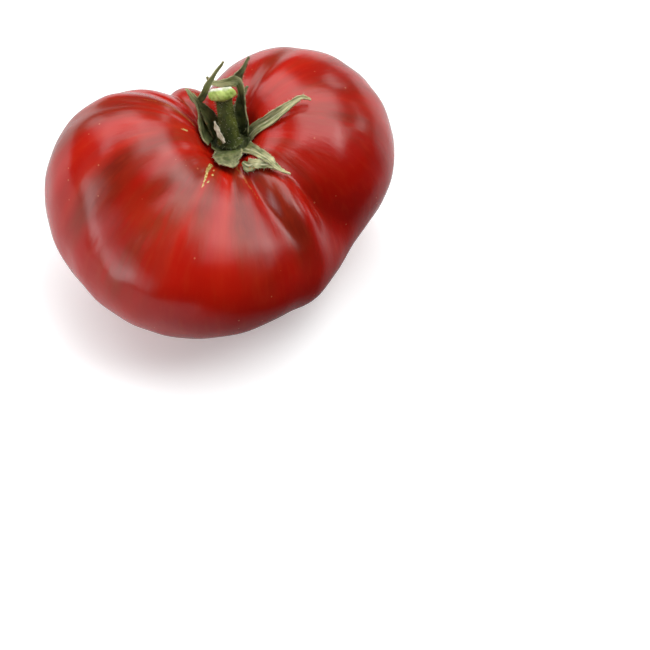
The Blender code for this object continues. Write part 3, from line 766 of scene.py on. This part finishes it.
# Stem: its axis in millimetres from the stem point, and (distance, radius) along it
stem = {
    "axis": ((0.0, 0.2, 2.2), (-0.5, 1.5, 6.3), (-1.0, 3.0, 10.2), (-1.5, 4.6, 13.9), (-2.1, 6.3, 17.3)),
    "profile": (
        (0.0, 0.0), (0.0, 2.2), (0.1, 3.6), (0.8, 3.35), (2.2, 3.0), (4.4, 2.75), (7.0, 2.5), (9.5, 2.35),
        (11.8, 2.25), (12.6, 2.35), (13.1, 3.0), (13.5, 3.7), (14.3, 3.95), (15.1, 3.7), (15.9, 3.1),
        (16.4, 2.6), (16.5, 1.4), (16.3, 0.0),
    ),
    "sides": 96,
    "rings": 150,
    "foot": (0.0, 0.3),
    "knobStart": (12.4, 13.6),
    "tilt": 0.34,  # slope of the broken end, which looks away to the back
    "tiltStart": (13.8, 16.0),
    "rib": 0.14,
    "ribs": 5,
    "lump": (0.25, 3, 1.0, 2),  # height of the knob's lumps, and the two waves that make them
    "knobRidges": (0.08, 17, 3.0),  # height, how many go round, and their twist
    "barkRidges": (0.05, 11, 1.7),
    "pathStep": 0.02,
    "bark": (260.0, (0.022, 0.034, 0.006, 1.0), (0.095, 0.120, 0.018, 1.0), 0.35, 0.65, 5.0),
    "knob": (500.0, (0.25, 0.37, 0.060, 1.0), (0.56, 0.70, 0.20, 1.0), 0.35, 0.65, 5.0),
    "pith": (700.0, (0.55, 0.60, 0.38, 1.0), (0.78, 0.80, 0.66, 1.0)),
    "knobColour": (12.6, 13.2),  # distances over which the bark gives way to the pale knob
    "pithColour": (15.3, 15.8),
    "borderScale": 600.0,
    "borderWander": (-0.6, 0.6),
    "grainNoise": (1500.0, 4.0),
    "bump": (0.6, 0.0003),
}


def stemMaterial():
    material, tree, shader = newMaterial("stemBark", Roughness=0.55, IOR=1.4)
    place = objectPlace(tree)
    wander = spread(tree, cloud(tree, place, stem["borderScale"]), *stem["borderWander"])
    border = combine(tree, "ADD", stored(tree, "distance"), wander)
    bark, knob, pith = (mottle(tree, place, *stem[part]) for part in ("bark", "knob", "pith"))
    colour = mixColours(tree, spread(tree, border, 0.0, 1.0, *stem["knobColour"]), bark, knob)
    colour = mixColours(tree, spread(tree, border, 0.0, 1.0, *stem["pithColour"]), colour, pith)
    feed(tree, shader, {"Base Color": colour})
    addBump(tree, shader, cloud(tree, place, *stem["grainNoise"]), *stem["bump"])
    return material


def stemFrame(distance):
    t = distance / stem["profile"][-1][0]
    middle = Vector(along(stem["axis"], t)) * mm
    step = stem["pathStep"]
    forward = (Vector(along(stem["axis"], t + step)) - Vector(along(stem["axis"], t - step))).normalized()
    forward = Vector((0, 0, 1)).lerp(forward, float(smoothStep(t, *stem["foot"]))).normalized()
    return stemPoint + middle, forward


def ridges(values, turn, distance):
    height, count, twist = values
    return height * math.sin(count * turn + twist * distance)


def stemPlace(share, turn):  # a point on the stem, share from 0 at the middle of the foot to 1 at its end
    distance, radius = (max(float(value), 0.0) for value in along(stem["profile"], share))
    middle, forward = stemFrame(distance)
    out = Vector((math.cos(turn), math.sin(turn), 0.0))
    out = (out - forward * out.dot(forward)).normalized()
    knob = float(smoothStep(distance, *stem["knobStart"]))
    rough = stem["rib"] * math.cos(stem["ribs"] * turn) * (1.0 - knob)
    height, count, phase, crossing = stem["lump"]
    rough += height * knob * math.sin(count * turn + phase) * math.cos(crossing * turn + distance)
    rough += knob * ridges(stem["knobRidges"], turn, distance) + ridges(stem["barkRidges"], turn, distance)
    tilt = stem["tilt"] * float(smoothStep(distance, *stem["tiltStart"])) * -out.y * radius * mm
    return middle + out * ((radius + rough * min(radius, 1.0)) * mm) + forward * tilt, out, distance


def makeStem():
    bm = bmesh.new()
    bmesh.ops.create_uvsphere(bm, u_segments=stem["sides"], v_segments=stem["rings"], radius=1.0)
    distances = []
    for vertex in bm.verts:  # the ball's rings, from its lower to its upper pole, become the stem's
        polar = math.acos(max(-1.0, min(1.0, vertex.co.z)))
        share = round((1.0 - polar / math.pi) * stem["rings"]) / stem["rings"]
        vertex.co, out, distance = stemPlace(share, math.atan2(vertex.co.y, vertex.co.x))
        distances.append(distance)
    piece = newPiece("stemBody", bm, stemMaterial(), "stem")
    keep(piece.data, "distance", distances)


makeStem()
print("stem made")


# Dry petal that leans on the foot of the stem
petal = {
    "path": ((-1.3, -3.0, 4.5), (-2.6, -1.4, 6.0), (-3.5, 0.2, 7.3), (-4.3, 2.0, 8.2)),
    "width": (0.8, 1.5, 1.6, 0.6),
    "face": ((-0.3, -0.9, 0.3), (-0.8, -0.5, 0.4)),
    "fold": 0.3,
    "ragged": 0.1,
    "steps": 40,
    "cross": 8,
    "seed": 2,
    "thickness": 0.3,
    "paper": (700.0, (0.50, 0.46, 0.30, 1.0), (0.74, 0.72, 0.58, 1.0)),
}


def petalMaterial():
    material, tree, shader = newMaterial("dryPetal", Roughness=0.7, IOR=1.4)
    feed(tree, shader, {"Base Color": mottle(tree, objectPlace(tree), *petal["paper"])})
    return material


def makePetal():
    bm = bmesh.new()
    bmesh.ops.create_grid(bm, x_segments=petal["steps"], y_segments=petal["cross"], size=1.0)
    for vertex in bm.verts:
        vertex.co = leafPoint(petal, (vertex.co.x + 1.0) / 2.0, vertex.co.y, petal["seed"])
    piece = newPiece("dryPetal", bm, petalMaterial(), "dry_petal")
    thicken(piece, petal["thickness"])


makePetal()
print("petal made")


# Fine pale hairs on the stem and along the sepals' edges
hair = {
    "onStem": 420,
    "stemPart": (0.12, 0.62),  # the share of the stem that has hairs
    "onSepal": 70,
    "sepalPart": (0.05, 0.95),
    "length": (0.5, 1.1),
    "thickness": 0.035,
    "sepalLength": 0.8,  # a sepal's hairs against the stem's
    "sepalThickness": 0.9,
    "point": 0.15,  # thickness of a hair's tip against its root
    "middle": 0.45,  # under a half, so that its root lies a little inside
    "lean": ((-0.5, 0.5), (-0.5, 0.5), (-0.3, 0.5)),
    "forwardLean": (-0.2, 0.7),
    "upLean": (-0.4, 0.6),
    "seed": 11,
    "pale": (300.0, (0.30, 0.34, 0.18, 1.0), (0.62, 0.62, 0.46, 1.0)),
}


def addHair(bm, root, way, length, thickness):
    made = bmesh.ops.create_cone(bm, cap_ends=True, segments=3, radius1=thickness,
                                 radius2=thickness * hair["point"], depth=length)["verts"]
    turn = way.to_track_quat("Z", "Y").to_matrix().to_4x4()
    middle = root + way * (length * hair["middle"])
    bmesh.ops.transform(bm, matrix=Matrix.Translation(middle) @ turn, verts=made)


def hairMaterial():
    material, tree, shader = newMaterial("hair", Roughness=0.5, IOR=1.4)
    feed(tree, shader, {"Base Color": mottle(tree, objectPlace(tree), *hair["pale"])})
    return material


def makeHairs():
    draw = random.Random(hair["seed"])
    material = hairMaterial()
    bm = bmesh.new()
    for _ in range(hair["onStem"]):
        share = draw.uniform(*hair["stemPart"])
        point, out, distance = stemPlace(share, draw.uniform(-math.pi, math.pi))
        lean = Vector([draw.uniform(*limits) for limits in hair["lean"]])
        length = draw.uniform(*hair["length"]) * mm
        addHair(bm, point, (out + lean).normalized(), length, hair["thickness"] * mm)
    newPiece("stemHairs", bm, material, None)
    bm = bmesh.new()
    for seed, sepal in enumerate(sepals.values()):
        for _ in range(hair["onSepal"]):
            t, side = draw.uniform(*hair["sepalPart"]), draw.choice((-1.0, 1.0))
            middle, sideways, up, forward = leafFrame(sepal, t)
            way = sideways * side + forward * draw.uniform(*hair["forwardLean"])
            way += up * draw.uniform(*hair["upLean"])
            length = draw.uniform(*hair["length"]) * hair["sepalLength"] * mm
            thickness = hair["thickness"] * hair["sepalThickness"] * mm
            addHair(bm, leafPoint(sepal, t, side, seed), way.normalized(), length, thickness)
    newPiece("sepalHairs", bm, material, None)


makeHairs()
print("hairs made")


# Studio: a white floor, soft lights and the camera
plainWhite = (1.0, 1.0, 1.0, 1.0)
plainBlack = (0.0, 0.0, 0.0, 1.0)
studio = {
    "floor": 3.0,
    "white": (0.838, 0.86, 0.87, 1.0),
    "world": 0.02,
    "fill": 0.305,  # even light the floor itself gives, so that the shadow under the fruit stays soft
    "far": (0.35, 1.1),  # metres over which that light grows, so that the floor stays white to the back
    "mirrorShade": (0.42, 0.42, 0.43, 1.0),  # painted shade: the floor as the skin reflects it and as its bounce light reaches the fruit, greyer than it looks itself
    "paintedShade": (0.10, 0.004, 0.003, 1.0),  # painted shade: near black in the skin's reflections and bounce light on the front right side, though nothing stands there
    "paintedShadeWays": ((0.34, -0.94, 0.0), (1.0, -0.09, 0.0)),  # the painted shade lies ahead in both of these ways
    "paintedShadeStart": (-0.022, 0.042),
    "distance": 600.0,
    "elevation": 49.0,
    "lens": 114.65,
    "sensor": 36.0,
    "aimRight": 27.5,
    "aimDown": 51.6,
}
warm = (1.0, 0.99, 0.98)
cool = (0.95, 0.96, 1.0)
lights = {  # azimuth (0 behind, 90 right) and elevation seen from the fruit, distance, size, radiance, colour
    "overhead": (76.0, 70.0, 1.0, (1.12, 1.02), 1.6, warm),
    "overheadCore": (74.0, 68.0, 0.98, (0.78, 0.68), 2.3, warm),
    "leftBox": (-34.0, 54.0, 1.1, (1.0, 0.86), 1.5, warm),
    "leftBoxCore": (-32.0, 54.0, 1.08, (0.70, 0.56), 1.5, warm),
    "leftStrip": (-44.0, 26.0, 1.1, (0.26, 0.32), 2.8, warm),
    "backStrip": (30.0, 27.0, 1.1, (0.16, 0.26), 3.2, warm),
    "rightStrip": (98.0, 41.0, 1.1, (0.62, 0.52), 1.7, warm),
    "rightStripCore": (100.0, 42.0, 1.08, (0.36, 0.28), 2.4, warm),
    "rimStrip": (68.0, 20.0, 1.1, (0.30, 0.22), 3.0, warm),
    "window": (-124.0, 22.0, 1.1, (0.66, 0.50), 1.1, cool),
    "windowCore": (-117.0, 15.0, 1.08, (0.34, 0.34), 3.9, cool),
    "sideWindow": (-88.0, 54.0, 1.1, (0.42, 0.38), 2.2, (0.95, 0.97, 1.0)),
    "leftFill": (-104.0, 34.0, 1.2, (0.95, 0.70), 1.6, (1.0, 0.97, 0.95)),
}
softOnly = {"leftFill"}  # lights that aren't seen in the gloss


def floorMaterial():
    material, tree, shader = newMaterial("whiteFloor", Roughness=0.8)
    place = objectPlace(tree)
    distance = addNode(tree, "VectorMath", {0: place}, operation="LENGTH").outputs["Value"]
    seen = addNode(tree, "LightPath").outputs["Is Camera Ray"]
    # painted shade: rays other than the camera's see the floor grey, and near black towards the front right,
    # which darkens the fruit's reflections and bounce light there
    sides = []
    for way in studio["paintedShadeWays"]:
        away = addNode(tree, "VectorMath", {0: place, 1: way}, operation="DOT_PRODUCT").outputs["Value"]
        sides.append(spread(tree, away, 0.0, 1.0, *studio["paintedShadeStart"]))
    side = product(tree, *sides)
    mirrorShade = mixColours(tree, side, studio["mirrorShade"], studio["paintedShade"])
    mirrorShadeGlow = mixColours(tree, side, plainWhite, plainBlack)
    feed(tree, shader, {
        "Base Color": mixColours(tree, seen, mirrorShade, studio["white"]),
        "Emission Color": mixColours(tree, seen, mirrorShadeGlow, plainWhite),
        "Emission Strength": spread(tree, distance, studio["fill"], 1.0, *studio["far"]),
    })
    return material


def makeFloor():
    bm = bmesh.new()
    bmesh.ops.create_grid(bm, x_segments=1, y_segments=1, size=studio["floor"])
    mesh = bpy.data.meshes.new("floor")
    bm.to_mesh(mesh)
    bm.free()
    floor = bpy.data.objects.new("floor", mesh)
    bpy.context.scene.collection.objects.link(floor)
    mesh.materials.append(floorMaterial())


def makeLights():
    for name, (azimuth, elevation, distance, size, radiance, colour) in lights.items():
        turn, tilt = math.radians(azimuth), math.radians(elevation)
        way = Vector((math.sin(turn) * math.cos(tilt), math.cos(turn) * math.cos(tilt), math.sin(tilt)))
        data = bpy.data.lights.new(name, "AREA")
        data.shape = "RECTANGLE"
        data.size, data.size_y = size
        data.energy = radiance * math.pi * size[0] * size[1]
        data.color = colour
        light = bpy.data.objects.new(name, data)
        bpy.context.scene.collection.objects.link(light)
        light.location = way * distance
        light.rotation_euler = (-way).to_track_quat("-Z", "Y").to_euler()
        light.visible_camera = False
        light.visible_glossy = name not in softOnly
    world = bpy.data.worlds.new("studio")
    bpy.context.scene.world = world
    world.use_nodes = True
    background = world.node_tree.nodes["Background"]
    feed(world.node_tree, background, {"Color": plainWhite, "Strength": studio["world"]})


def makeCamera():
    tilt = math.radians(studio["elevation"])
    up = Vector((0.0, math.sin(tilt), math.cos(tilt)))
    back = Vector((0.0, -math.cos(tilt), math.sin(tilt)))
    aim = stemPoint + Vector((studio["aimRight"] * mm, 0.0, 0.0)) - up * (studio["aimDown"] * mm)
    camera = bpy.data.objects.new("camera", bpy.data.cameras.new("camera"))
    bpy.context.scene.collection.objects.link(camera)
    camera.data.lens = studio["lens"]
    camera.data.sensor_width = studio["sensor"]
    camera.location = aim + back * (studio["distance"] * mm)
    camera.rotation_euler = (-back).to_track_quat("-Z", "Y").to_euler()
    bpy.context.scene.camera = camera


makeFloor()
makeLights()
makeCamera()
bpy.context.scene.view_settings.view_transform = "Standard"
print("studio made")
